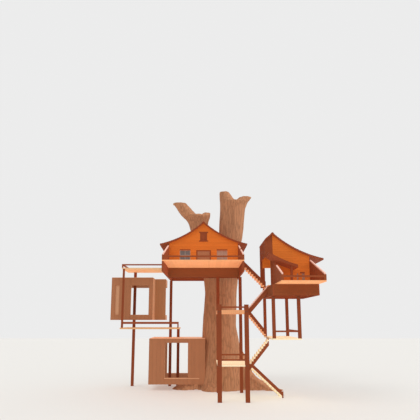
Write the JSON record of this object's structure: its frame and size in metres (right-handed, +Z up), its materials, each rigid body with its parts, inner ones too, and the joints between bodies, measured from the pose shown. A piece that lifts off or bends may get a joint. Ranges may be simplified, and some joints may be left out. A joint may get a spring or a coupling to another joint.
{
  "type": "tree house",
  "caption": "Tree house round a forked trunk: gabled cabin with porch, raised half cabin, zigzag stair, side walkway and see-through rooms on posts.",
  "frame": {"origin": "on the ground, on the trunk's axis", "axes": "+X to the right seen from the front, +Y from the front to the back, +Z up"},
  "size_m": [22.6, 20.4186, 23.2],
  "materials": {
    "bark": "smooth brown bark",
    "carved_wood": "brown boards, matt",
    "orange_boards": "orange stained boards",
    "dark_boards": "red-brown stained boards",
    "dark_timber": "red-brown stained timber",
    "roof_shingles": "red-brown wooden shingles",
    "light_deck": "light tan planks",
    "pale_deck": "pale planks",
    "weathered_deck": "tan weathered planks",
    "door_planks": "brown planks",
    "pale_trim": "pale painted rail",
    "window_glass": "clear",
    "steel": "dull"
  },
  "bodies": {
    "house": {"bay_screen": "dark_boards", "deck_rails": "dark_timber", "flight_a_treads": "light_deck", "flight_b_treads": "light_deck", "flight_c_treads": "light_deck", "flight_d_treads": "light_deck", "flight_e_treads": "light_deck", "ground_room_back": "carved_wood", "ground_room_ends": "carved_wood", "ground_room_floor": "carved_wood", "ground_room_front": "carved_wood", "ground_room_roof": "carved_wood", "half_awning": "roof_shingles", "half_back_wall": "orange_boards", "half_cross_beams": "dark_timber", "half_floor": "light_deck", "half_front_wall": "orange_boards", "half_porch_deck": "light_deck", "half_porch_wings": "dark_boards", "half_roof": "roof_shingles", "half_side_beams": "dark_timber", "half_side_wall": "dark_boards", "hanging_platform": "pale_deck", "hanging_posts": "dark_timber", "left_bough": "bark", "left_posts": "dark_timber", "lower_platform": "weathered_deck", "main_attic_shutter": "dark_boards", "main_back_wall": "dark_boards", "main_cross_beams": "dark_timber", "main_door_frame": "dark_timber", "main_floor": "light_deck", "main_front_gable": "orange_boards", "main_front_wall_left": "orange_boards", "main_front_wall_right": "orange_boards", "main_porch_deck": "light_deck", "main_porch_wings": "dark_boards", "main_roof_left": "roof_shingles", "main_roof_right": "roof_shingles", "main_side_beams": "dark_timber", "main_side_walls": "dark_boards", "main_window_trim": "dark_timber", "porch_rails": "dark_timber", "porch_wing_caps": "pale_trim", "right_limb": "bark", "stair_landings": "pale_deck", "stair_strings": "dark_timber", "tower_posts": "dark_timber", "tower_rails": "dark_timber", "tree_pegs": "steel", "trunk": "bark", "upper_room_back": "carved_wood", "upper_room_ends": "carved_wood", "upper_room_floor": "carved_wood", "upper_room_front": "carved_wood", "upper_room_roof": "carved_wood", "walkway_deck": "weathered_deck", "window_glass": "window_glass"},
    "door": {"main_door": "door_planks"}
  },
  "joints": [
    {"name": "main_door_hinge", "type": "hinge", "parent": "house", "child": "door", "pos_m": [-1.094, -3.678, 14.4], "axis": [0, 0, 1], "range_deg": [0, 100]}
  ]
}
